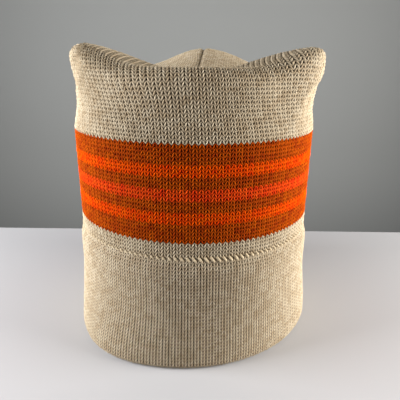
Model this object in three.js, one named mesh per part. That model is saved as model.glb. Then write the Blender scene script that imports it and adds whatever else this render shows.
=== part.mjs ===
// Knitted beanie: a turned double hem, a band of seven stripes, and a crown that three
// dart seams gather into three blunt ears. Millimetres, +Z up. The front of the hat looks
// toward -Y, and the origin lies under the middle of the brim, on the surface it stands on.
// Turned angles are measured in plan from the front of the hat toward +X.
import * as THREE from 'three';
import { ParametricGeometry } from 'three/addons/geometries/ParametricGeometry.js';
import { mergeGeometries, mergeVertices } from 'three/addons/utils/BufferGeometryUtils.js';

// ---- Driving sizes ----
const BODY_RADIUS = 83.4; // outside of the knitted tube
const FABRIC = 2.4; // one layer of knit
const GAP = 0.3; // left between two pieces that lie against each other
const ROW = 2.32; // height of one knitted row

const HEM_HEIGHT = 73; // from the fold up to the linking line
const HEM_SWELL = 1.9; // how far the doubled hem stands out from the tube
const BRIM_FLARE = 5.7; // how far the fold stands out from the tube
const FLARE_HEIGHT = 48; // height at which the hem begins to flare toward the fold
const HEM_SLOT = 0.6; // between the outer layer and the facing folded up inside it
const FOLD_ROUND = 1.6; // radius of the fold's two lower edges
const SHOULDER_HEIGHT = 9; // height over which the hem draws in to the linking line
const LINK_THREAD = 1.6; // thickness of the ring of linking stitches

const LOWER_BAND_ROWS = 4; // plain rows between the linking line and the stripes
const STRIPES = [ // from the lowest stripe to the highest
  { name: 'stripe_7_rust', rows: 5, yarn: 'rust' },
  { name: 'stripe_6_orange', rows: 3, yarn: 'orange' },
  { name: 'stripe_5_rust', rows: 3, yarn: 'rust' },
  { name: 'stripe_4_coral', rows: 3, yarn: 'coral' },
  { name: 'stripe_3_rust', rows: 3, yarn: 'rust' },
  { name: 'stripe_2_orange', rows: 3, yarn: 'orange' },
  { name: 'stripe_1_rust', rows: 5, yarn: 'rust' },
];

const CREST_HEIGHT = 39.3; // from the top of the stripes up to the lowest part of the crest
const CREST_TUCK = 3; // how far the crest between two ears lies inside the tube
const TUCK_SHARE = 0.65; // share of the crown's wall over which it draws in by that much
const CROWN_SAG = 4.5; // how far the middle of the crown lies below the crest
const CREST_ROUND = 15; // radius of the rounded crest between the ears
const EAR_ROUND = 9.5; // radius of the rounded crest at an ear
const WALL_RISE = 10; // height above the stripes at which the wall begins to lean to the ears
const EARS = [ // spread and width are degrees in plan over which the rise and the reach fade
  { name: 'left', turn: -60, reach: 1.6, rise: 13.5, spread: 49, width: 24 },
  { name: 'right', turn: 60, reach: 5.6, rise: 12.4, spread: 43, width: 24 },
  { name: 'back', turn: 175, reach: 3.6, rise: 16.2, spread: 59, width: 36 },
];

const SEAM_END = 1.75; // where on the section of an ear its raw edges end
const SEAM_WIDTH = 3.2; // two raw edges of knit pressed together
const SEAM_DEPTH = 4.5; // how far the raw edges hang down inside the crown
const SEAM_START = 7; // distance from the middle at which a seam's raw edges begin
const SEAM_DROP = 1; // how far the raw edges hang clear of the knit on either side of the seam
const OVERLOCK_THREAD = 0.9; // thickness of the thread that binds the raw edges
const OVERLOCK_DROP = 0.5; // between the raw edges and the thread that swings under them
const OVERLOCK_STEP = 4; // length of one overlock stitch
const TACK_SIZE = 5; // diameter of the knot that gathers the three seams

// ---- Yarns ----
const YARNS = {
  oatmeal: { color: '#cdb894', roughness: 0.95 },
  rust: { color: '#a4481a', roughness: 0.95 },
  orange: { color: '#e2440c', roughness: 0.95 },
  coral: { color: '#e0401f', roughness: 0.95 },
  thread: { color: '#d8c6a6', roughness: 0.8 },
};

// ---- Sizes that follow from the driving ones ----
const RING_SIDES = 48; // flat facets round the tube and the hem
const CROWN_SIDES = 72; // and round the crown
const BRIM_RADIUS = BODY_RADIUS + BRIM_FLARE;
const TUBE_BOTTOM = HEM_HEIGHT + LINK_THREAD / 2 + GAP;
const STRIPES_BOTTOM = TUBE_BOTTOM + LOWER_BAND_ROWS * ROW;
const STRIPE_ROWS = STRIPES.reduce((sum, stripe) => sum + stripe.rows, 0);
const CROWN_BOTTOM = STRIPES_BOTTOM + STRIPE_ROWS * ROW;
const CREST_LEVEL = CROWN_BOTTOM + CREST_HEIGHT;

const smooth = THREE.MathUtils.smoothstep;
const { degToRad, lerp } = THREE.MathUtils;

function material(yarn) {
  return new THREE.MeshStandardMaterial({ ...YARNS[yarn], metalness: 0 });
}

function piece(name, geometry, yarn) {
  const mesh = new THREE.Mesh(geometry, material(yarn));
  mesh.name = name;
  return mesh;
}

// Welds patches into one closed body and drops the collapsed triangles at its poles.
function weld(patches) {
  const bare = patches.map((patch) => patch.deleteAttribute('normal').deleteAttribute('uv'));
  const body = mergeVertices(mergeGeometries(bare), 1e-3);
  const corners = Array.from(body.index.array);
  const kept = [];
  for (let i = 0; i < corners.length; i += 3) {
    const [a, b, c] = corners.slice(i, i + 3);
    if (a !== b && b !== c && c !== a) kept.push(a, b, c);
  }
  body.setIndex(kept);
  body.computeVertexNormals();
  return body;
}

// Turns a closed profile of [radius, height] pairs about the hat's axis.
function ring(profile) {
  const points = [...profile, profile[0]].map(([radius, height]) => new THREE.Vector2(radius, height));
  return weld([new THREE.LatheGeometry(points, RING_SIDES).rotateX(Math.PI / 2)]);
}

// ---- Turned hem: outer layer, fold and inner facing, all one U-shaped layer of knit ----
// Outer radius of the hem: flared at the fold, swollen above it, drawn in at the linking line.
function hemRadius(height) {
  const flare = (BRIM_FLARE - HEM_SWELL) * smooth(FLARE_HEIGHT - height, 0, FLARE_HEIGHT);
  const drawn = HEM_SWELL * smooth(height, HEM_HEIGHT - SHOULDER_HEIGHT, HEM_HEIGHT);
  return BODY_RADIUS + HEM_SWELL + flare - drawn;
}

function hemWall(inset, heights) {
  return heights.map((height) => [hemRadius(height) - inset, height]);
}

function turnedHem() {
  const top = HEM_HEIGHT - LINK_THREAD / 2 - GAP;
  const levels = [0.1, 0.22, 0.35, 0.5, 0.7, 0.88, 0.95, 1].map((share) => share * top);
  const doubled = 2 * FABRIC + HEM_SLOT;
  const foldInside = BRIM_RADIUS - doubled;
  return piece('turned_hem', ring([
    [BRIM_RADIUS - FOLD_ROUND, 0],
    [BRIM_RADIUS, FOLD_ROUND],
    ...hemWall(0, levels),
    ...hemWall(FABRIC, [...levels].reverse()),
    [BRIM_RADIUS - FABRIC - HEM_SLOT / 2, FABRIC],
    ...hemWall(FABRIC + HEM_SLOT, levels),
    ...hemWall(doubled, [...levels].reverse()),
    [foldInside, FOLD_ROUND],
    [foldInside + FOLD_ROUND, 0],
  ]), 'oatmeal');
}

function linkingThread() {
  const radius = LINK_THREAD / 2;
  const thread = new THREE.TorusGeometry(BODY_RADIUS - radius, radius, 6, RING_SIDES);
  const mesh = piece('linking_thread', weld([thread]), 'thread');
  mesh.position.z = HEM_HEIGHT;
  return mesh;
}

// ---- Knitted tube: one ring for each run of rows in one yarn ----
function tubeRing(name, bottom, rows, yarn) {
  const top = bottom + rows * ROW - GAP;
  const inside = BODY_RADIUS - FABRIC;
  const section = [[inside, bottom], [BODY_RADIUS, bottom], [BODY_RADIUS, top], [inside, top]];
  return piece(name, ring(section), yarn);
}

function knittedTube() {
  const rings = [tubeRing('lower_band', TUBE_BOTTOM, LOWER_BAND_ROWS, 'oatmeal')];
  let bottom = STRIPES_BOTTOM;
  for (const { name, rows, yarn } of STRIPES) {
    rings.push(tubeRing(name, bottom, rows, yarn));
    bottom += rows * ROW;
  }
  return rings;
}

// ---- Crown ----
// Angle in plan between a direction and an ear, from 0 to 180 degrees.
function angleFromEar(turn, ear) {
  return Math.abs(THREE.MathUtils.euclideanModulo(turn - ear.turn + 180, 360) - 180);
}

// How much of an ear's rise is left at a direction: full near the ear, none between two ears.
function earRise(turn, ear) {
  return ear.rise * (1 - smooth(angleFromEar(turn, ear), 0, ear.spread)) ** 2;
}

function crestLevel(turn) {
  return CREST_LEVEL + EARS.reduce((sum, ear) => sum + earRise(turn, ear), 0);
}

// How near a direction is to an ear: 1 at the ear, 0 beyond its width.
function earNearness(turn, ear) {
  return 1 - smooth(angleFromEar(turn, ear), 0, ear.width);
}

function earReach(turn) {
  return EARS.reduce((sum, ear) => sum + earNearness(turn, ear) * (CREST_TUCK + ear.reach), 0);
}

function crestRadius(turn) {
  return BODY_RADIUS - CREST_TUCK + earReach(turn);
}

// Radius of the wall: it draws in above the stripes, then leans out toward the ears.
function wallRadius(turn, height, top) {
  const tuck = CREST_TUCK * smooth(height, CROWN_BOTTOM, lerp(CROWN_BOTTOM, top, TUCK_SHARE));
  return BODY_RADIUS - tuck + earReach(turn) * smooth(height, CROWN_BOTTOM + WALL_RISE, top);
}

// Section of the crown in the vertical plane at a turn, as [distance from axis, height].
// Along 0..1 climbs the wall, 1..2 goes round the crest and 2..3 runs in to the middle.
function crownSection(turn, along, inset) {
  const nearest = Math.max(...EARS.map((ear) => earNearness(turn, ear)));
  const round = lerp(CREST_ROUND, EAR_ROUND, nearest) - inset;
  const edge = crestRadius(turn) - inset;
  const peak = crestLevel(turn) - inset;
  const shelf = edge - round;
  if (along <= 1) {
    const height = lerp(CROWN_BOTTOM, peak - round, along);
    return [wallRadius(turn, height, peak - round) - inset, height];
  }
  const middle = CREST_LEVEL - CROWN_SAG - inset;
  const saddle = (radius) => lerp(middle, peak, smooth(radius, 0, edge));
  if (along <= 2) {
    const bend = (along - 1) * Math.PI / 2;
    const radius = shelf + round * Math.cos(bend);
    return [radius, saddle(radius) - round * (1 - Math.sin(bend))];
  }
  const radius = shelf * (3 - along);
  return [radius, saddle(radius)];
}

function crownPatch(inset, rows, from, to) {
  return new ParametricGeometry((u, v, target) => {
    const [radius, height] = crownSection(360 * u, lerp(from, to, v), inset);
    const angle = degToRad(360 * u);
    target.set(radius * Math.sin(angle), -radius * Math.cos(angle), height);
  }, CROWN_SIDES, rows);
}

function crownRim() {
  return new ParametricGeometry((u, v, target) => {
    const radius = BODY_RADIUS - FABRIC * (1 - v);
    const angle = degToRad(360 * u);
    target.set(radius * Math.sin(angle), -radius * Math.cos(angle), CROWN_BOTTOM);
  }, CROWN_SIDES, 1);
}

const WALL_STEPS = 5;
const CREST_STEPS = 5;
const TOP_STEPS = 6;

function crownPanel() {
  const outside = [
    crownPatch(0, WALL_STEPS, 0, 1), crownPatch(0, CREST_STEPS, 1, 2), crownPatch(0, TOP_STEPS, 2, 3),
  ];
  const inside = [
    crownPatch(FABRIC, WALL_STEPS, 1, 0), crownPatch(FABRIC, CREST_STEPS, 2, 1),
    crownPatch(FABRIC, TOP_STEPS, 3, 2),
  ];
  return piece('crown_panel', weld([...outside, ...inside, crownRim()]), 'oatmeal');
}

// ---- Dart seams: raw edges that hang inside the crown below each seam ----
// Points below an ear's seam, from the middle outward, in the plane y = 0.
function seamLine(ear, depth, sway, count) {
  const inset = FABRIC + SEAM_DROP + depth;
  const shelf = crestRadius(ear.turn) - EAR_ROUND;
  const first = 3 - SEAM_START / shelf;
  const points = [];
  for (let i = 0; i <= count; i += 1) {
    const along = lerp(first, SEAM_END, i / count);
    const [radius, height] = crownSection(ear.turn, along, 0);
    const lean = Math.max(0, (2 - along) * Math.PI / 2);
    const x = radius - inset * Math.sin(lean);
    points.push(new THREE.Vector3(x, sway(i), height - inset * Math.cos(lean)));
  }
  return new THREE.CatmullRomCurve3(points);
}

function alongSeam(name, shape, path, steps, ear, yarn) {
  const geometry = new THREE.ExtrudeGeometry(shape, { steps, bevelEnabled: false, extrudePath: path });
  const mesh = piece(name, weld([geometry]), yarn);
  mesh.rotation.z = degToRad(ear.turn - 90);
  return mesh;
}

function dartSeam(ear) {
  const half = new THREE.Vector2(SEAM_WIDTH / 2, SEAM_DEPTH / 2);
  const section = new THREE.Shape([
    new THREE.Vector2(-half.x, -half.y), new THREE.Vector2(half.x, -half.y),
    new THREE.Vector2(half.x, half.y), new THREE.Vector2(-half.x, half.y),
  ]);
  const path = seamLine(ear, SEAM_DEPTH / 2, () => 0, 20);
  return alongSeam(`dart_seam_${ear.name}`, section, path, 20, ear, 'oatmeal');
}

// The binding thread swings from side to side under the raw edges, one swing for a stitch.
function overlock(ear) {
  const radius = OVERLOCK_THREAD / 2;
  const swings = Math.round(BODY_RADIUS / OVERLOCK_STEP);
  const sway = (i) => (SEAM_WIDTH / 2 - radius) * [0, 1, 0, -1][i % 4];
  const path = seamLine(ear, SEAM_DEPTH + OVERLOCK_DROP + radius, sway, swings * 4);
  const corners = [0, 1, 2, 3, 4].map((i) => i * 2 * Math.PI / 5);
  const section = new THREE.Shape(
    corners.map((angle) => new THREE.Vector2(radius * Math.cos(angle), radius * Math.sin(angle))),
  );
  return alongSeam(`overlock_${ear.name}`, section, path, swings * 4, ear, 'thread');
}

// Knot of thread where the three seams meet.
function crownTack() {
  const mesh = piece('crown_tack', weld([new THREE.SphereGeometry(TACK_SIZE / 2, 10, 8)]), 'thread');
  mesh.position.z = CREST_LEVEL - CROWN_SAG - FABRIC - GAP - TACK_SIZE / 2;
  return mesh;
}

// ---- Assembly ----
const beanie = new THREE.Group();
beanie.add(turnedHem(), linkingThread(), ...knittedTube(), crownPanel(), crownTack());
beanie.add(...EARS.map(dartSeam), ...EARS.map(overlock));

export default beanie;
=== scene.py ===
# %% [markdown]
# # A knitted beanie, stitch by stitch
# The hat is one tube of plain knit: a hem turned up double at the bottom, seven stripes, and
# a crown folded in from three sides and sewn along three darts, which leaves three blunt
# ears. The frame holds its true sizes. Here each CAD solid is replaced by a closed sheet of
# knit, in which every stitch stands out.

# %% Load the frame
import math
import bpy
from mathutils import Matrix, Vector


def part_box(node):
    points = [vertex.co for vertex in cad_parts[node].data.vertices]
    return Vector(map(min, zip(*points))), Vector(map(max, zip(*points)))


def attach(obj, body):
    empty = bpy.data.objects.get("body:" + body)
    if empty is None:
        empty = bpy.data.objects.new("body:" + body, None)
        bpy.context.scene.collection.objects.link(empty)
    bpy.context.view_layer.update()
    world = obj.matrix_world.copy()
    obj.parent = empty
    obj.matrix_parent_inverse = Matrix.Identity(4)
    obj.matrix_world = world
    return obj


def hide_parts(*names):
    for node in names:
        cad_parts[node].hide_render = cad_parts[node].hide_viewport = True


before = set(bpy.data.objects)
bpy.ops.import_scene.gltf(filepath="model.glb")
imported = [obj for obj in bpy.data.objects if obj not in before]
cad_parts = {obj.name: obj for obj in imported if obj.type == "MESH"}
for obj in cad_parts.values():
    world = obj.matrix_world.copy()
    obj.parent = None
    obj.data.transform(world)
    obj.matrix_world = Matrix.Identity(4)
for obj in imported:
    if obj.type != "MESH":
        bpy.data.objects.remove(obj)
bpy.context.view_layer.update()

from types import SimpleNamespace

import bpy
import numpy as np
from mathutils import Vector

MM = 0.001
rng = np.random.default_rng(7)
print("frame holds", len(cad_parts), "CAD nodes")

# %% [markdown]
# ## Camera
# The hat is seen from a little less than its own height, close by and slightly from above,
# so the brim bows down and the crest stays level. A normal lens at this short distance
# gives the strong perspective of a thing held at arm's length.

# %% Camera
CAMERA_PLACE = (4.8, -297.1, 180.5)  # millimetres
CAMERA_TILT = 18.21  # degrees below level
CAMERA_ROLL = 0.69
CAMERA_LENS = 36.2  # on a 36 mm sensor

camera = bpy.data.objects.new("camera", bpy.data.cameras.new("camera"))
camera.data.lens = CAMERA_LENS
camera.data.sensor_width = 36
camera.location = Vector(CAMERA_PLACE) * MM
camera.rotation_mode = "ZYX"
camera.rotation_euler = (math.radians(90 - CAMERA_TILT), 0, math.radians(CAMERA_ROLL))
camera.data.clip_start = 0.01
bpy.context.scene.collection.objects.link(camera)
bpy.context.scene.camera = camera

# %% [markdown]
# ## Sizes
# The tube, the hem and the stripes take their places from the CAD boxes. What a box can't
# say, such as the stitch count, the crown's curves and the ears, is named here, in
# millimetres and degrees, as in the CAD source.

# %% Sizes


def corner(node, side):
    """Lowest (side 0) or highest (side 1) corner of a CAD node, in millimetres."""
    return np.array(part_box(node)[side]) / MM


WALES = 144  # columns of stitches round the hat
FABRIC = 2.4  # one layer of knit
STRIPES = [  # name, rows, yarn, from the lowest stripe to the highest
    ("stripe_7_rust", 5, "rust"), ("stripe_6_orange", 3, "orange"), ("stripe_5_rust", 3, "rust"),
    ("stripe_4_coral", 3, "coral"), ("stripe_3_rust", 3, "rust"), ("stripe_2_orange", 3, "orange"),
    ("stripe_1_rust", 5, "rust"),
]
BODY_RADIUS = corner("stripe_4_coral", 1)[0]
BRIM_RADIUS = corner("turned_hem", 1)[0]
HEM_TOP = corner("turned_hem", 1)[2]
LINK_LEVEL = (corner("linking_thread", 0)[2] + corner("linking_thread", 1)[2]) / 2
TUBE_BOTTOM = corner("lower_band", 0)[2]
STRIPES_BOTTOM = corner("stripe_7_rust", 0)[2]
CROWN_BOTTOM = corner("crown_panel", 0)[2]
ROW = (CROWN_BOTTOM - STRIPES_BOTTOM) / sum(rows for _, rows, _ in STRIPES)
WALE_TURN = 360 / WALES
WALE_WIDTH = math.radians(WALE_TURN) * BODY_RADIUS
print(f"tube radius {BODY_RADIUS:.1f} mm, row {ROW:.2f} mm, wale {WALE_WIDTH:.2f} mm")

# %% [markdown]
# ## What one stitch looks like
# On the face of plain knit every loop shows two legs that lean together like a roof. The
# legs of one wale meet over a small dark hole, and the holes between two wales lie half a
# row higher. A stitch could be a swept tube, but 15,000 of them would need millions of
# faces. Instead the cloth is a grid with a relief that lifts the legs and sinks the holes.
# The grid's own rows are bent into a slight roof too, so that where the yarn changes, the
# new colour starts in small points, as it does on real knit.

# %% Stitch relief
SLANT = 0.6  # rows by which a grid row drops from the middle of its wale to its edge
LEG_SLANT = 1.25  # rows by which a leg drops over the same half of a wale
RELIEF = 1.5  # depth of the hole under the roof of a stitch
GROOVE = 0.5  # share of that depth between two legs that lie side by side
EDGE_HOLE = 0.75  # share of that depth in the hole between two wales
BRIDGE = 0.3  # how low the legs lie where they meet
GAP_SHAPE = 1.7  # above 1, the gaps between legs are wider than the legs' own half sine leaves
PROUD = 0.5  # how far the legs stand out from the CAD surface, which runs through their middle
UNEVEN = 0.3  # by how much one stitch may stand higher than the next
EDGE_STARTS = (0.3, 0.7)  # where, from the middle of a wale to its edge, the hole at the edge takes over


def smooth(x, low, high):
    """Smooth step: 0 below low, 1 above high, and three t squared less two t cubed between."""
    t = np.clip((x - low) / (high - low), 0, 1)
    return t * t * (3 - 2 * t)


def lerp(a, b, share):
    """Straight line from a to b."""
    return a + (b - a) * share


stitch_tone = rng.random((WALES, 256))  # one random number for each stitch
stitch_lift = rng.random((WALES, 256))


def relief(wale, course, per_row):
    """Height in mm and hollowness 0..1 of the face of the knit at a wale and course.

    A leg's crown is half a sine over one course, to a power, shifted by the leg's own slant. The
    flank is half a sine over half a wale: full between the wale's middle and its edge. The hollow
    is deepest where both are nought. Each stitch is lifted by chance. A grid of odd rows is
    shifted so that it meets the grooves.
    """
    side = np.abs(2 * (wale % 1) - 1)
    phase = course + (LEG_SLANT - SLANT) * (side - 0.5) + 0.5 * (per_row % 2) / per_row
    leg = np.abs(np.sin(np.pi * phase)) ** GAP_SHAPE
    flank = np.sin(np.pi * side)
    gap = lerp(1, EDGE_HOLE, smooth(side, *EDGE_STARTS)) * (1 - flank)
    hollow = (1 - leg) * np.maximum(GROOVE, gap) + leg * BRIDGE * (1 - flank)
    number = (np.floor(wale).astype(int) % WALES, np.floor(course).astype(int) % 256)
    lift = UNEVEN * (stitch_lift[number] - 0.5) * leg * flank
    return PROUD + lift - RELIEF * hollow, hollow, stitch_tone[number]


print(f"a stitch is {WALE_WIDTH:.2f} by {ROW:.2f} mm and {RELIEF} mm deep")

# %% [markdown]
# ## From numbers to a mesh
# Every piece here is worked out as whole arrays of points and triangles, which is far
# quicker than adding points one by one. Two numbers go with each point, for the yarn to
# read: how deep it lies in a hole, which the yarn turns into painted shade, and the chance
# shade of its stitch.

# %% Mesh helper


def link(name, points, faces, corner_uv, attributes):
    """A smooth mesh object from points in mm and triangles.

    There is a UV pair for each corner of each triangle, and a float of each attribute for each point.
    """
    mesh = bpy.data.meshes.new(name)
    mesh.vertices.add(len(points))
    mesh.vertices.foreach_set("co", (points * MM).astype(np.float32).ravel())
    mesh.loops.add(faces.size)
    mesh.polygons.add(len(faces))
    mesh.polygons.foreach_set("loop_start", np.arange(0, faces.size, 3, dtype=np.int32))
    mesh.loops.foreach_set("vertex_index", faces.astype(np.int32).ravel())
    mesh.update(calc_edges=True)
    mesh.polygons.foreach_set("use_smooth", np.ones(len(faces), bool))
    uv = mesh.uv_layers.new(name="UVMap")
    uv.uv.foreach_set("vector", corner_uv.astype(np.float32).ravel())
    for key, values in attributes.items():
        mesh.attributes.new(key, "FLOAT", "POINT").data.foreach_set("value", values.astype(np.float32))
    mesh.validate()
    piece = bpy.data.objects.new(name, mesh)
    bpy.context.scene.collection.objects.link(piece)
    print(f"{name}: {len(points)} points, {len(faces)} triangles")
    return piece


def triangles(ids):
    """Two triangles for each cell of a grid of point numbers, rows upward and columns to the right."""
    a, b, c, d = ids[:-1, :-1], ids[:-1, 1:], ids[1:, 1:], ids[1:, :-1]
    return np.concatenate([np.stack([a, b, c], -1).reshape(-1, 3), np.stack([a, c, d], -1).reshape(-1, 3)])


# %% [markdown]
# ## Cloth
# A real cloth hangs in columns of stitches, and each column keeps its length wherever it
# goes. So a cloth here is a set of paths, one for each column of the grid, spaced evenly by
# their own length. Laying stitches on it is only a matter of distance along each path, and
# the rows keep their true height over the crest and round the fold.

# %% Cloth
PATH_STEPS = 160


def cloth(wales, paths):
    """Respaces paths [column, step, xyz] evenly by length, with the normal of the surface they span."""
    run = np.pad(np.cumsum(np.linalg.norm(np.diff(paths, axis=1), axis=2), axis=1), ((0, 0), (1, 0)))
    even = np.linspace(0, 1, PATH_STEPS)
    points = np.array([
        [np.interp(even * r[-1], r, path[:, axis]) for axis in range(3)] for r, path in zip(run, paths)
    ]).transpose(0, 2, 1)
    normals = np.cross(np.gradient(points, axis=0), np.gradient(points, axis=1))
    normals /= np.linalg.norm(normals, axis=2, keepdims=True)
    return SimpleNamespace(wales=wales, points=points, normals=normals, length=run[:, -1])


def on_cloth(sheet, along):
    """Point and normal at each distance [row, column] along the columns of a cloth, by straight blending."""
    column = np.broadcast_to(np.arange(along.shape[1]), along.shape)
    place = np.clip(along / sheet.length, 0, 1) * (PATH_STEPS - 1)
    step = np.minimum(place.astype(int), PATH_STEPS - 2)
    share = (place - step)[..., None]
    point, normal = (lerp(table[column, step], table[column, step + 1], share)
                     for table in (sheet.points, sheet.normals))
    return point, normal / np.linalg.norm(normal, axis=2, keepdims=True)


# %% [markdown]
# ## Knitting on a cloth
# A plain sheet with a bump map would look knitted from afar, but its edge and its shadows
# would stay smooth. So the face is a fine grid that takes the relief, and the back is a
# coarse one a layer's thickness behind it. Face and back are one sleeve of triangles, so
# each piece is a closed body. Where a path ends early, at a seam, its last rows fold into
# one point and the collapsed triangles are dropped.

# %% Knitting
# painted shade: the back's colour is taken part of the way to the dark shade colour of the holes
BACK_PAINTED_SHADE = 0.35  # the back has no relief, and takes one middling shade


def stitch_rows(sheet, start, rows, per_row, ends):
    """Courses, distances along the cloth and kept row numbers of a grid whose rows follow the legs."""
    side = np.abs(2 * (sheet.wales % 1) - 1)
    course = np.arange(round(rows * per_row) + 1)[:, None] / per_row
    free = start + ROW * (course - SLANT * (side - 0.5))
    low, high = ends
    first = np.maximum((free <= low).sum(axis=0) - 1, 0)
    last = np.minimum((free < high).sum(axis=0), len(course) - 1)
    kept = np.clip(np.arange(len(course))[:, None], first, last)
    return np.broadcast_to(course, free.shape), np.clip(free, low, high), kept


def knit(name, sheet, start, rows, per_row=4, ends=(-1e9, 1e9), around=True, first_row=0, back_step=1):
    """A closed piece of knit: face with stitch relief, back with a row each back_step courses, and rims."""
    course, along, kept = stitch_rows(sheet, start, rows, per_row, ends)
    course = course + first_row  # so that no two pieces have the same chance pattern of yarn
    height, hollow, tone = relief(np.broadcast_to(sheet.wales, course.shape), course, per_row)
    point, normal = on_cloth(sheet, along)
    face = point + normal * height[..., None]
    back_course, back_along, back_kept = stitch_rows(sheet, start, rows, 1 / back_step, ends)
    back_point, back_normal = on_cloth(sheet, back_along)
    back = back_point - back_normal * FABRIC
    columns = len(sheet.wales)
    face_ids = kept * columns + np.arange(columns)
    back_ids = face.shape[0] * columns + back_kept * columns + np.arange(columns)
    faces = [triangles(np.vstack([face_ids, back_ids[::-1], face_ids[:1]]))]
    if not around:
        for edge, turn in ((0, 1), (columns - 1, -1)):
            outer, inner = face_ids[:, edge], back_ids[:, edge]
            near = np.repeat(inner[:-1], per_row)
            faces.append(np.stack([outer[:-1], outer[1:], near], -1)[:, ::turn])
            faces.append(np.stack([outer[per_row::per_row], inner[1:], inner[:-1]], -1)[:, ::turn])
    faces = np.concatenate(faces)
    same = np.arange(face.shape[0] * columns + back.shape[0] * columns)
    if around:
        same = np.where(same % columns == columns - 1, same - columns + 1, same)
    solid = same[faces]
    whole = (solid[:, 0] != solid[:, 1]) & (solid[:, 1] != solid[:, 2]) & (solid[:, 2] != solid[:, 0])
    faces, solid = faces[whole], solid[whole]
    used, solid = np.unique(solid, return_inverse=True)
    points = np.concatenate([face.reshape(-1, 3), back.reshape(-1, 3)])
    wide = np.broadcast_to(sheet.wales, course.shape), np.broadcast_to(sheet.wales, back_course.shape)
    uv = np.stack([np.concatenate([w.ravel() for w in wide]),
                   np.concatenate([course.ravel(), back_course.ravel()])], -1)
    back_painted_shade = np.full(back_course.size, BACK_PAINTED_SHADE)
    # the yarn reads each point's hollow as painted shade
    marks = {"hollow": np.concatenate([hollow.ravel(), back_painted_shade])[used],
             "tone": np.concatenate([tone.ravel(), np.full(back_course.size, 0.5)])[used]}
    return link(name, points[used], solid.reshape(-1, 3), uv[faces].reshape(-1, 2), marks)


def columns_of(first, last, per_wale):
    """Wale coordinate of each column of a grid from wale first to wale last."""
    return np.linspace(first, last, (last - first) * per_wale + 1)


# %% [markdown]
# ## The tube
# The plain rows and the stripes are rings of one tube, each knitted from its own yarn. Knit
# is soft, so no ring is a true circle. A few slow waves, the same for every ring, let the
# tube breathe by half a millimetre without breaking the joins.

# %% Tube paths
WAVES = [(2, 0.20, 0.4, 60), (3, 0.16, 2.1, 90), (5, 0.13, 4.0, 45), (9, 0.08, 1.3, 30)]
MARGIN = 8  # path kept below and above a ring, for rows that reach past its level


def softness(turn, height):
    """Sum of slow sine waves in mm round the hat, which drift as they climb."""
    angle = np.radians(turn)
    return sum(size * np.sin(count * angle + shift + height / drift) for count, size, shift, drift in WAVES)


def place(turn, radius, height):
    """Point at a turn from the front, a distance from the axis and a height."""
    angle = np.radians(turn)
    return np.stack(np.broadcast_arrays(radius * np.sin(angle), -radius * np.cos(angle), height), -1)


def turned(wales, radius, height):
    """Cloth made by turning a profile of radii and heights about the hat's axis, with its softness."""
    turn = (wales * WALE_TURN)[:, None]
    return cloth(wales, place(turn, radius + softness(turn, height), height))


around_fine = columns_of(0, WALES, 8)


def tube(name, bottom, rows, clip=-1e9):
    """A ring of the plain tube, from a level up, as a knitted piece."""
    first_row = round((bottom - TUBE_BOTTOM) / ROW) + 60
    height = np.linspace(bottom - MARGIN, bottom + rows * ROW + MARGIN, PATH_STEPS)[None, :]
    sheet = turned(around_fine, BODY_RADIUS, height)
    return knit(name, sheet, MARGIN, rows, ends=(clip, 1e9), first_row=first_row)


# %% Plain rows and stripes
LINK_OVERLAP = 1.0  # the knit runs on under the linking stitches from both sides

pieces = {}  # object, CAD nodes that it replaces, and yarn
band_rows = round((STRIPES_BOTTOM - TUBE_BOTTOM) / ROW)
plain_rows = tube("plain_rows", TUBE_BOTTOM, band_rows, clip=MARGIN - LINK_OVERLAP)
pieces["lower_band"] = (plain_rows, ["lower_band"], "oatmeal")
level = STRIPES_BOTTOM
for node, rows, yarn in STRIPES:
    pieces[node] = (tube("knit_" + node, level, rows), [node], yarn)
    level += rows * ROW

# %% [markdown]
# ## The turned hem
# The hem is knitted twice as long as it shows, folded, and linked to the tube, so it is a
# U of one layer: up the outside, round the fold, and up the inside toward the head. It is
# built as two pieces that meet at the inner side of the fold, and both show the face of the
# knit. The back of the outer one lies in the slot between them, so it has few rows.

# %% Shape of the hem
HEM_SWELL = 1.9
FLARE_HEIGHT = 48
SHOULDER = 9
DOUBLED = 2 * FABRIC + 0.6  # both layers and the slot between them
FOLD_RADIUS = DOUBLED / 2
BRIM_BULGES = [(-37, 26, 5.5), (-88, 22, -3.0), (40, 26, -1.2)]  # turn, width and size of each
BULGE_HEIGHT = 42  # height at which the bulges have faded out
BEND_STEPS = 60


def hem_radius(height):
    """Outside of the hem: flared at the fold, swollen above it, drawn in at the linking line."""
    flare = (BRIM_RADIUS - BODY_RADIUS - HEM_SWELL) * smooth(FLARE_HEIGHT - height, 0, FLARE_HEIGHT)
    return BODY_RADIUS + HEM_SWELL + flare - HEM_SWELL * smooth(height, LINK_LEVEL - SHOULDER, LINK_LEVEL)


def brim_push(turn, height):
    """Soft bulges of the brim in mm, as bell curves round the hat that fade out up the hem."""
    away = (turn + 180) % 360 - 180
    push = sum(size * np.exp(-((away - middle) / width) ** 2) for middle, width, size in BRIM_BULGES)
    return push * (1 - smooth(height, 0, BULGE_HEIGHT))


def hem_cloth(wales, radius, height):
    """Cloth of one layer of the hem, from a profile of radii and heights, with the brim's bulges."""
    turn = (wales * WALE_TURN)[:, None]
    return turned(wales, radius + brim_push(turn, height), height)


# %% Outer layer and facing
wall = np.linspace(FOLD_RADIUS, HEM_TOP + LINK_OVERLAP, PATH_STEPS)
bend = np.linspace(-np.pi, 0, BEND_STEPS)[:-1]
fold_middle = hem_radius(FOLD_RADIUS) - FOLD_RADIUS
outside = (np.concatenate([fold_middle + FOLD_RADIUS * np.cos(bend), hem_radius(wall)]),
           np.concatenate([FOLD_RADIUS + FOLD_RADIUS * np.sin(bend), wall]))
hem_sheet = hem_cloth(columns_of(0, WALES, 6), outside[0][None, :], outside[1][None, :])
hem_length = hem_sheet.length
HEM_BACK_STEP = 6  # courses to one row of the outer layer's back, which keeps the piece light; as a
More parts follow.
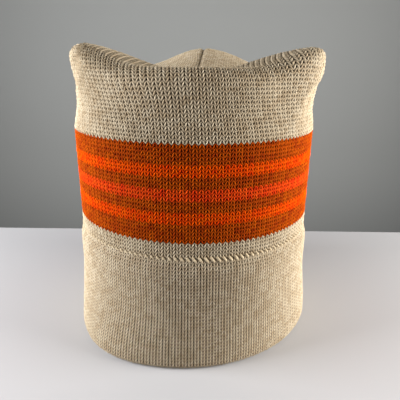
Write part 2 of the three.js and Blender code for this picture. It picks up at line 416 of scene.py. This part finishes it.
# fault, these long steps cut up to 0.13 mm into the facing just below the linking line
hem_rows = math.ceil((hem_length.max() / ROW + SLANT) / HEM_BACK_STEP) * HEM_BACK_STEP
pieces["hem"] = (knit("hem_outer", hem_sheet, hem_length - hem_rows * ROW + SLANT * ROW / 2, hem_rows,
                      per_row=3, ends=(0, hem_length), back_step=HEM_BACK_STEP), ["turned_hem"], "oatmeal")
facing_height = wall[::-1]
facing_sheet = hem_cloth(columns_of(0, WALES, 4), (hem_radius(facing_height) - DOUBLED)[None, :],
                         facing_height[None, :])
facing_rows = math.ceil(facing_sheet.length.max() / ROW + SLANT)
pieces["facing"] = (knit("hem_facing", facing_sheet, -SLANT * ROW / 2, facing_rows, per_row=2,
                         ends=(0, facing_sheet.length)), ["turned_hem"], "oatmeal")

# %% [markdown]
# ## The crown
# Above the stripes the tube simply goes on. At the top it is pressed flat from three sides
# and sewn, so three flaps of cloth run in over the crest and meet along three darts. Each
# flap is one piece: its wales climb the wall, turn over the rounded crest and run straight
# to the dart, where the next flap's wales end too. First come the sizes of the crest, of the
# ears and of what isn't even about them: leaning wales, creases and a low shoulder.

# %% Sizes of the crown
CREST_HEIGHT = 39.3
CREST_TUCK = 3
TUCK_SHARE = 0.65
CROWN_SAG = 4.5
CREST_ROUND = 7
FLANK_ROUND = 3  # more where the crest climbs to an ear, so that the wall rolls up to the ridge
FLANK_TURN = 27  # that far from the ear
FLANK_WIDTH = 15
WALL_RISE = 10
EARS = {  # turn, reach, rise, spread, width, radius of the edge at the tip
    "left": (-60, 1.6, 13.5, 49, 24, 9.5),
    "right": (60, 5.6, 12.4, 43, 24, 6.0),
    "back": (175, 3.6, 16.2, 59, 36, 9.5),
}
CREST_LEVEL = CROWN_BOTTOM + CREST_HEIGHT
SEAM_REACH = 0.72  # how far round the ear's rounded edge its dart runs, as a share of the round
SEAM_DEPTH = 1.6  # depth of the valley that a dart pulls into the cloth
SEAM_VALLEY = 1.9  # half its width
LEAN = [(-36, 24, -8.5), (30, 24, -2.5)]  # turn, width, and degrees by which wales lean at the crest
LEAN_ON = 1.1  # how much further they lean, as a share of that, while they go over the crest
CREST_TURN = 8  # distance in from the crest's edge over which they still do
CREST_SWELL = (150, 13, 2.0)  # turn, width and height of a low shoulder beside the back ear
FOLDS = [  # creases in the wall, as turn and height of both ends, half width, and mm pushed in or out
    ((84, 188), (52, 160), 3.2, -2.2), ((72, 184), (42, 150), 7.0, 1.5), ((92, 182), (66, 156), 4.0, 0.5),
    ((-50, 190), (-66, 164), 4.0, -0.8), ((-71, 188), (-71, 166), 11.0, -3.2),
    ((-72, 176), (-72, 142), 13.0, -1.2),
]
FRONT_PULL = 0.72  # below 1, so that the front's left wales crowd toward the ear's tip
VALLEY_START = (-4, 6)  # where along a dart, from the middle of the top, its valley begins and is full
print(f"crest at {CREST_LEVEL:.1f} mm, with {len(EARS)} ears")

# %% [markdown]
# ## Wall, crest and top
# A sculptor would pull the ears out of a tube by hand. Each of these functions instead says
# one thing about the crown, as a height or a distance from the axis at any turn round the
# hat, and all three flaps read the same functions, so they meet.

# %% Wall, crest and top


def from_ear(turn, ear):
    """Angle in plan between a direction and an ear, 0 to 180 degrees."""
    return np.abs((turn - ear[0] + 180) % 360 - 180)


def nearness(turn, ear):
    """1 at an ear, 0 beyond its width."""
    return 1 - smooth(from_ear(turn, ear), 0, ear[4])


def crest_level(turn):
    """Height of the crest: level between ears, and up to each ear's tip."""
    swell = CREST_SWELL[2] * np.exp(-(from_ear(turn, CREST_SWELL) / CREST_SWELL[1]) ** 2)
    rise = sum(ear[2] * (1 - smooth(from_ear(turn, ear), 0, ear[3])) ** 2 for ear in EARS.values())
    return CREST_LEVEL + swell + rise


def ear_reach(turn):
    """How far the ears push the crest out."""
    return sum(nearness(turn, e) * (CREST_TUCK + e[1]) for e in EARS.values())


def crest_radius(turn):
    """Distance of the crest's outside from the axis."""
    return BODY_RADIUS - CREST_TUCK + ear_reach(turn)


def crest_round(turn):
    """Radius of the rounded crest: tight at an ear, softest on its flanks, even between the ears."""
    found = CREST_ROUND
    for ear in EARS.values():
        flank = np.exp(-((from_ear(turn, ear) - FLANK_TURN) / FLANK_WIDTH) ** 2)
        near = nearness(turn, ear)
        found = found + FLANK_ROUND * flank * (1 - near) + (ear[5] - CREST_ROUND) * near
    return found


def wall_radius(turn, height, top):
    """The wall draws in above the stripes, then leans out toward the ears."""
    tuck = CREST_TUCK * smooth(height, CROWN_BOTTOM, lerp(CROWN_BOTTOM, top, TUCK_SHARE))
    return BODY_RADIUS - tuck + ear_reach(turn) * smooth(height, CROWN_BOTTOM + WALL_RISE, top)


def top_height(x, y):
    """Height of the crown over a point in plan.

    A sagging saddle that rounds off at the crest as a quarter circle, less a bell-shaped valley
    along each dart.
    """
    turn = np.degrees(np.arctan2(x, -y))
    radius = np.hypot(x, y)
    edge, peak, rounding = crest_radius(turn), crest_level(turn), crest_round(turn)
    saddle = lerp(CREST_LEVEL - CROWN_SAG, peak, smooth(radius, 0, edge))
    over = np.clip((radius - edge + rounding) / rounding, 0, 1)
    valley = 0
    for ear in EARS.values():
        way = np.radians(ear[0])
        across = x * np.cos(way) + y * np.sin(way)
        ahead = x * np.sin(way) - y * np.cos(way)
        valley = np.maximum(valley, smooth(ahead, *VALLEY_START) * np.exp(-(across / SEAM_VALLEY) ** 2))
    return saddle - rounding * (1 - np.sqrt(1 - over ** 2)) - SEAM_DEPTH * valley * (1 - over ** 4)


def lean(turn):
    """Degrees by which a wale has drifted round the hat when it reaches the crest."""
    away = (turn + 180) % 360 - 180
    return sum(size * np.exp(-((away - middle) / width) ** 2) for middle, width, size in LEAN)


def folds(turn, height):
    """Creases in mm: bell curves of the distance from a line across the unrolled wall, fading to its ends."""
    away = (turn + 180) % 360 - 180
    total = 0
    for (turn_a, height_a), (turn_b, height_b), width, push in FOLDS:
        wide = math.radians(1) * BODY_RADIUS
        x, y = (away - turn_a) * wide, height - height_a
        dx, dy = (turn_b - turn_a) * wide, height_b - height_a
        share = np.clip((x * dx + y * dy) / (dx * dx + dy * dy), 0, 1)
        fade = 4 * share * (1 - share)
        total = total + push * fade * np.exp(-((x - share * dx) ** 2 + (y - share * dy) ** 2) / width ** 2)
    return total


# %% [markdown]
# ## The three flaps
# Each flap follows its wales from the stripes to the dart. A wale's way over the crest is
# bent in plan like a bow, because real wales don't turn a sharp corner at the crest.

# %% Flaps
EAR_FADE = 0.3  # share of half a flap, from an ear, over which the wales take up their lean
EAR_EDGE = 0.1  # the same, over which the flap's edge takes up its sideways normals
LEAN_CURVE = 1.3  # above 1, the wales lean mostly high on the wall
WALL_STEPS = 80
OVER_STEPS = 120


def flap(name, ear_a, ear_b, pull_a=1.0, per_wale=8):
    """One flap of the crown, between two ears, as a knitted piece.

    Each wale climbs the wall, then bends over the crest along a quadratic curve in plan: begin,
    bow and goal blended twice. Near an ear the normals lose their sideways part, so that the
    two flaps which meet there share one edge.
    """
    first = EARS[ear_a][0] / WALE_TURN
    last = EARS[ear_b][0] / WALE_TURN
    last += WALES * (last < first)
    wales = columns_of(round(first), round(last), per_wale)
    base = (wales * WALE_TURN)[:, None]
    across = (wales - first) / (last - first) * 2 - 1
    drift = lean(base) * smooth(1 - np.abs(across), 0, EAR_FADE)[:, None]
    end_turn = base + drift
    peak = crest_level(end_turn) - crest_round(end_turn)
    share = np.linspace(0, 1, WALL_STEPS)[None, :]
    height = lerp(CROWN_BOTTOM, peak, share)
    turn = base + drift * share ** LEAN_CURVE
    loose = softness(turn, height) * (1 - share ** 2) + folds(turn, height)
    rising = place(turn, wall_radius(turn, height, peak) + loose, height)
    below = CROWN_BOTTOM - np.linspace(MARGIN, 0.1, 12)[None, :]
    tail = place(base, BODY_RADIUS + softness(base, below) + folds(base, below), below)
    ear_turn = np.radians(np.where(across < 0, EARS[ear_a][0], EARS[ear_b][0]))
    ear_deg = np.degrees(ear_turn)
    seam_end = crest_radius(ear_deg) - crest_round(ear_deg) * (1 - SEAM_REACH)
    pull = np.where(across < 0, pull_a, 1)
    goal = np.stack([np.sin(ear_turn), -np.cos(ear_turn)], -1) * (seam_end * np.abs(across) ** pull)[:, None]
    begin = rising[:, -1, :2]
    bow = place(end_turn + drift * LEAN_ON, crest_radius(end_turn) - CREST_TURN, 0)[:, 0, :2]
    bow = lerp((begin + goal) / 2, bow, smooth(1 - np.abs(across), 0, EAR_FADE)[:, None])
    run = np.linspace(0, 1, OVER_STEPS)[1:, None] ** 2
    plan = lerp(lerp(begin[:, None], bow[:, None], run), lerp(bow[:, None], goal[:, None], run), run)
    over = np.concatenate([plan, top_height(plan[..., 0], plan[..., 1])[..., None]], axis=2)
    sheet = cloth(wales, np.concatenate([tail, rising, over], axis=1))
    sideways = np.stack([np.cos(ear_turn), np.sin(ear_turn), 0 * ear_turn], -1)[:, None]
    at_ear = 1 - smooth(1 - np.abs(across), 0, EAR_EDGE)[:, None, None]
    sheet.normals -= at_ear * sideways * (sheet.normals * sideways).sum(-1, keepdims=True)
    rows = math.ceil((sheet.length.max() - MARGIN) / ROW + SLANT)
    return knit(name, sheet, MARGIN, rows, ends=(-1e9, sheet.length), around=False, first_row=120)


pieces["crown_front"] = (flap("crown_front", "left", "right", FRONT_PULL), ["crown_panel"], "oatmeal")
pieces["crown_right"] = (flap("crown_right", "right", "back"), ["crown_panel"], "oatmeal")
pieces["crown_left"] = (flap("crown_left", "back", "left"), ["crown_panel"], "oatmeal")

# %% [markdown]
# ## The linking line
# The hem is joined to the tube by linking: one plump stitch for each wale, all leaning the
# same way. It is a single thread that zigzags out over the join and back under it, so it is
# one closed tube of thread carried along that path.

# %% Thread helper


def sweep(name, path, across, out, hint, sides=8, closed=True):
    """A tube along points [step, xyz] in mm, closed on itself or with flat ends.

    The section is an ellipse, with the half widths across, sideways, and out, toward the hint
    direction. Both may change from step to step. As a fault, the faces are wound inwards.
    """
    along = np.roll(path, -1, 0) - np.roll(path, 1, 0) if closed else np.gradient(path, axis=0)
    along /= np.linalg.norm(along, axis=1, keepdims=True)
    outward = hint - along * (hint * along).sum(1, keepdims=True)
    outward /= np.linalg.norm(outward, axis=1, keepdims=True)
    sideways = np.cross(along, outward)
    angle = np.linspace(0, 2 * np.pi, sides + 1)[:-1, None]
    across, out = (np.broadcast_to(size, (len(path),))[:, None, None] for size in (across, out))
    skin = path[:, None] + across * np.cos(angle) * sideways[:, None] + out * np.sin(angle) * outward[:, None]
    ids = np.arange(len(path))[:, None] * sides + np.arange(sides + 1) % sides
    if closed:
        ids = np.vstack([ids, ids[:1]])
    step, way = np.indices(ids.shape)
    uv = np.stack([way / sides, step / 4], -1).reshape(-1, 2)
    faces, corners = triangles(ids), triangles(np.arange(ids.size).reshape(ids.shape))
    if not closed:
        for ring, turn in ((ids[0, :-1], 1), (ids[-1, :-1], -1)):
            fan = np.stack([np.full(sides - 2, ring[0]), ring[2:], ring[1:-1]], -1)[:, ::turn]
            faces, corners = np.concatenate([faces, fan]), np.concatenate([corners, 0 * fan])
    points = skin.reshape(-1, 3)
    marks = {"hollow": np.zeros(len(points)), "tone": rng.random(len(points))}
    return link(name, points, faces, uv[corners].reshape(-1, 2), marks)


# %% Linking stitches
LINK_LEAN = 0.33  # of a wale, from the middle of the stitch to each end
LINK_RISE = 1.5  # from the middle of the stitch to each end
LINK_RADIUS = 0.82
LINK_SHOW = [(13, 22, 1.0), (180, 60, 0.4)]  # turn, width and mm by which the stitches stand out there
LINK_STEPS = 16

count = WALES * LINK_STEPS
phase = np.arange(count) / LINK_STEPS
swing = np.cos(2 * np.pi * phase)  # 1 at the low right end of a stitch, -1 at the high left end
forward = np.sin(2 * np.pi * phase)  # above nought while the thread is on the outside
back_way = np.maximum(phase % 1 - 0.5, 0) * 2  # the way back leads on to the next wale
link_turn = (np.floor(phase) + 0.5 + LINK_LEAN * swing + back_way) * WALE_TURN
link_away = (link_turn + 180) % 360 - 180
link_out = sum(size * np.exp(-((link_away - middle) / width) ** 2) for middle, width, size in LINK_SHOW)
link_radius = BODY_RADIUS - 1.25 + link_out + 0.9 * forward
link_path = place(link_turn, link_radius, LINK_LEVEL - LINK_RISE * swing)
link_size = LINK_RADIUS * (0.75 + 0.25 * forward)
pieces["linking"] = (sweep("linking_stitches", link_path, link_size, link_size, link_path * [1, 1, 0]),
                     ["linking_thread"], "thread")

# %% [markdown]
# ## Inside the crown
# Below each dart hang its two raw edges, pressed together and bound with an overlock stitch,
# whose thread swings under the edge from side to side. Where the three darts meet, the end
# of the thread is tied off in a small knot. None of this shows from outside, but it is what
# a hand feels inside the hat.

# %% Raw edges and overlock threads
SEAM_START = 7  # distance from the middle at which a dart's raw edges begin
SEAM_CLEAR = 0.5  # below the back of the knit
EDGE_WIDTH = 3.2
EDGE_DEPTH = 4.4
STITCH_STEP = 4
STITCH_SWING = math.radians(118)  # how far up each side of the raw edges the thread reaches
THREAD_RADIUS = 0.42
DART_STEPS = 90
STITCH_POINTS = 20  # steps of the thread to one stitch
RIPPLES = [(0.07, 2.1), (0.05, 0.83)]  # size, and turn in radians for a step, of waves in the raw edges


def dart(ear, steps):
    """Points along a dart under the knit, the sideways direction, and the direction down from the cloth."""
    way = np.radians(ear[0])
    forward_way = np.array([math.sin(way), -math.cos(way), 0])
    reach = np.linspace(SEAM_START, crest_radius(ear[0]) - ear[5] * (1 - SEAM_REACH), steps)
    height = top_height(reach * forward_way[0], reach * forward_way[1])
    line = reach[:, None] * forward_way + height[:, None] * [0, 0, 1]
    along = np.gradient(line, axis=0)
    along /= np.linalg.norm(along, axis=1, keepdims=True)
    side = np.array([math.cos(way), math.sin(way), 0])
    down = np.cross(side, along)
    return line, side, down * np.sign(-down[:, 2:])


for side_name, ear in EARS.items():
    line, side, down = dart(ear, DART_STEPS)
    run = np.arange(DART_STEPS) / DART_STEPS * (DART_STEPS - 1)
    ripple = 1 + sum(size * np.sin(run * rate) for size, rate in RIPPLES)
    middle = line + down * (FABRIC + SEAM_CLEAR + EDGE_DEPTH / 2)
    edge = sweep("raw_edges_" + side_name, middle, EDGE_WIDTH / 2 * ripple, EDGE_DEPTH / 2 * ripple, down,
                 sides=14, closed=False)
    pieces["edges_" + side_name] = (edge, ["dart_seam_" + side_name], "oatmeal")
    steps = round(np.linalg.norm(np.diff(line, axis=0), axis=1).sum() / STITCH_STEP) * STITCH_POINTS
    line, side, down = dart(ear, steps)
    swing = STITCH_SWING * np.sin(2 * np.pi * np.arange(steps) / STITCH_POINTS)[:, None]
    wrap = (np.sin(swing) * (EDGE_WIDTH / 2 + THREAD_RADIUS) * side
            + np.cos(swing) * (EDGE_DEPTH / 2 + THREAD_RADIUS) * down)
    path = line + down * (FABRIC + SEAM_CLEAR + EDGE_DEPTH / 2) + wrap
    binding = sweep("overlock_thread_" + side_name, path, THREAD_RADIUS, THREAD_RADIUS, wrap,
                    sides=6, closed=False)
    pieces["binding_" + side_name] = (binding, ["overlock_" + side_name], "thread")

# %% Knot
KNOT_SIZE = 0.7
KNOT_THREAD = 0.55
tack_middle = (corner("crown_tack", 0) + corner("crown_tack", 1)) / 2
turn = np.linspace(0, 2 * np.pi, 97)[:-1]
knot = np.stack([(2 + np.cos(3 * turn)) * np.cos(2 * turn), (2 + np.cos(3 * turn)) * np.sin(2 * turn),
                 2 * np.sin(3 * turn)], -1) * KNOT_SIZE
crown_knot = sweep("crown_knot", knot + tack_middle, KNOT_THREAD, KNOT_THREAD, knot)
pieces["tack"] = (crown_knot, ["crown_tack"], "thread")

# %% [markdown]
# ## Yarn
# Heathered yarn: short fibres of several shades spun together, so no stitch has quite the
# colour of the next. Its surface scatters light at all angles and the loose fibres on it
# catch light at the edges, which is what sheen is for. The holes are painted darker, as painted
# shade for the light that is caught between the loops. A picture of knit could be laid on the
# cloth, but here the colour follows the modelled stitches, so it can't slip off them.

# %% Helpers for materials


def colour(code):
    """A hex colour code in sRGB turned to linear light."""
    value = np.array([int(code[i:i + 2], 16) for i in (1, 3, 5)]) / 255
    return (*np.where(value <= 0.04045, value / 12.92, ((value + 0.055) / 1.055) ** 2.4), 1)


def node(tree, kind, settings=(), links=()):
    """Adds a node, sets attributes or sockets by name or number, and links sockets into it."""
    made = tree.nodes.new(kind)
    for key, value in dict(settings).items():
        if isinstance(key, str) and hasattr(made, key):
            setattr(made, key, value)
        else:
            made.inputs[key].default_value = value
    for key, source in dict(links).items():
        tree.links.new(source, made.inputs[key])
    return made


# %% [markdown]
# ## The yarn's nodes
# The UV map counts stitches, one unit to a wale and one to a course, so noise that reads it
# follows the knit. Flecks are about half a stitch wide, and fibres a tenth.

# %% Yarn
FLECK = 1.582  # millimetres across one fleck of heather
FIBRE = 0.4043  # across one bundle of fibres; real fibres are far too fine to show


def yarn(name, face, fleck, shade):
    """Wool yarn: face colour flecked with a second shade, and painted shade down in the holes.

    The share of fleck is 1.2 times noise, plus the stitch's own chance tone, brought into 0 to 1.
    """
    material = bpy.data.materials.new(name)
    material.use_nodes = True
    tree = material.node_tree
    shader = tree.nodes["Principled BSDF"]
    hollow = node(tree, "ShaderNodeAttribute", {"attribute_name": "hollow"}).outputs["Fac"]
    tone = node(tree, "ShaderNodeAttribute", {"attribute_name": "tone"}).outputs["Fac"]
    uv = node(tree, "ShaderNodeUVMap", {"uv_map": "UVMap"}).outputs["UV"]
    heather_scale = {"Scale": WALE_WIDTH / FLECK, "Detail": 3.0}
    heather = node(tree, "ShaderNodeTexNoise", heather_scale, {"Vector": uv}).outputs["Fac"]
    add = {"operation": "MULTIPLY_ADD", 1: 1.2}
    blend = node(tree, "ShaderNodeMath", add, {0: heather, 2: tone}).outputs[0]
    share = node(tree, "ShaderNodeMapRange", {"From Min": 0.2, "From Max": 2.1}, {"Value": blend}).outputs[0]
    shades = {"data_type": "RGBA", 6: colour(face), 7: colour(fleck)}
    spun = node(tree, "ShaderNodeMix", shades, {0: share}).outputs[2]
    # painted shade: the colour sinks to the dark shade colour as the point lies deeper in a hole
    deep = node(tree, "ShaderNodeMapRange", {"From Min": 0.1, "From Max": 0.62}, {"Value": hollow}).outputs[0]
    spun_and_painted_shade = node(tree, "ShaderNodeMix", {"data_type": "RGBA", 7: colour(shade)}, {0: deep, 6: spun}).outputs[2]
    tree.links.new(spun_and_painted_shade, shader.inputs["Base Color"])
    fibre_scale = {"Scale": WALE_WIDTH / FIBRE, "Detail": 2.0}
    fibre = node(tree, "ShaderNodeTexNoise", fibre_scale, {"Vector": uv}).outputs["Fac"]
    bump = node(tree, "ShaderNodeBump", {"Strength": 0.35, "Distance": 0.0004}, {"Height": fibre}).outputs[0]
    tree.links.new(bump, shader.inputs["Normal"])
    shader.inputs["Roughness"].default_value = 0.9
    shader.inputs["IOR"].default_value = 1.5
    shader.inputs["Specular IOR Level"].default_value = 0.02
    shader.inputs["Sheen Weight"].default_value = 0.08
    shader.inputs["Sheen Roughness"].default_value = 0.5
    shader.inputs["Sheen Tint"].default_value = colour(face)
    return material


# %% Five yarns
YARNS = {
    # heathered wool, spun: matt cream with tan flecks, and nearly black painted shade between the stitches
    "oatmeal": yarn("oatmeal_wool", "#ebdbbf", "#baa17f", "#120804"),
    # dyed wool, spun: burnt orange that turns to brown red in its flecks, with a very dark red painted shade
    # in the holes
    "rust": yarn("rust_wool", "#d8620c", "#98280a", "#200302"),
    # brightly dyed wool, spun: strong orange whose painted shade in the holes stays a warm dark red, as light
    # between the fibres turns redder
    "orange": yarn("orange_wool", "#ff6a05", "#ee3004", "#380403"),
    # brightly dyed wool, spun: as the orange, but pinker, which only shows beside it
    "coral": yarn("coral_wool", "#ff6216", "#e22a10", "#380404"),
    # plied sewing wool: like the cream, but a little darker and with no black holes
    "thread": yarn("linking_thread_wool", "#dccbad", "#b39f80", "#5a412b"),
}

# %% Pieces and their places in the frame
for piece, nodes, spun in pieces.values():
    piece.data.materials.append(YARNS[spun])
    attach(piece, "root")
    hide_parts(*nodes)
print(len(pieces), "pieces of", len(YARNS), "yarns")

# %% [markdown]
# ## Sheets
# Every band and flap is a sheet of knit, stretched round the head or folded at the hem. Its
# flat size is its stitches across times the width of one, by its rows times their height.
# The script declares no sheets. Bands less than 10 mm high are too narrow to count as
# sheets.

# %% [markdown]
# ## Floor, backdrop and light
# A pale table, a plain grey wall, and two large soft lights at the sides. The sides of the
# hat are bright and its front is left in soft shade, so every stitch casts its own small
# shadow. A weak light from the front and an even grey from all round keep the shade open.

# %% Floor and backdrop


def panel(name, centre, width, height, turn, code):
    """A flat rectangle for the stage, standing (turn 90) or lying (turn 0)."""
    x, y = width / 2 * MM, height / 2 * MM
    mesh = bpy.data.meshes.new(name)
    mesh.from_pydata([(-x, -y, 0), (x, -y, 0), (x, y, 0), (-x, y, 0)], [], [(0, 1, 2, 3)])
    flat = bpy.data.objects.new(name, mesh)
    flat.location = Vector(centre) * MM
    flat.rotation_euler = (math.radians(turn), 0, 0)
    bpy.context.scene.collection.objects.link(flat)
    paint = bpy.data.materials.new(name + "_paint")
    paint.use_nodes = True
    paint.node_tree.nodes["Principled BSDF"].inputs["Base Color"].default_value = colour(code)
    paint.node_tree.nodes["Principled BSDF"].inputs["Roughness"].default_value = 0.8
    mesh.materials.append(paint)
    return flat


panel("floor", (0, -380, -0.3), 2400, 1040, 0, "#c2c2c5")
panel("backdrop", (0, 700, 0), 5000, 4000, 90, "#a2a4a3")

# %% Lights


def soft_light(name, place_mm, aim_mm, size_mm, power, tint):
    """A square softbox that faces a point."""
    lamp = bpy.data.lights.new(name, "AREA")
    lamp.shape = "SQUARE"
    lamp.size = size_mm * MM
    lamp.energy = power
    lamp.color = colour(tint)[:3]
    light = bpy.data.objects.new(name, lamp)
    light.location = Vector(place_mm) * MM
    light.rotation_euler = (Vector(aim_mm) - Vector(place_mm)).to_track_quat("-Z", "Y").to_euler()
    light.visible_camera = False
    bpy.context.scene.collection.objects.link(light)
    return light


soft_light("left_softbox", (-575, -125, 268), (0, 0, 150), 360, 6.7, "#ffffff")
soft_light("right_softbox", (580, -135, 215), (0, 0, 155), 360, 6.8, "#fffcf7")
soft_light("front_fill", (0, -700, 420), (0, 0, 100), 500, 0.2, "#ffffff")

# %% Even light of the room
world = bpy.data.worlds.new("soft_room")
world.use_nodes = True
world.node_tree.nodes["Background"].inputs["Color"].default_value = colour("#a8a8a8")
world.node_tree.nodes["Background"].inputs["Strength"].default_value = 0.165
bpy.context.scene.world = world
bpy.context.scene.view_settings.view_transform = "Standard"
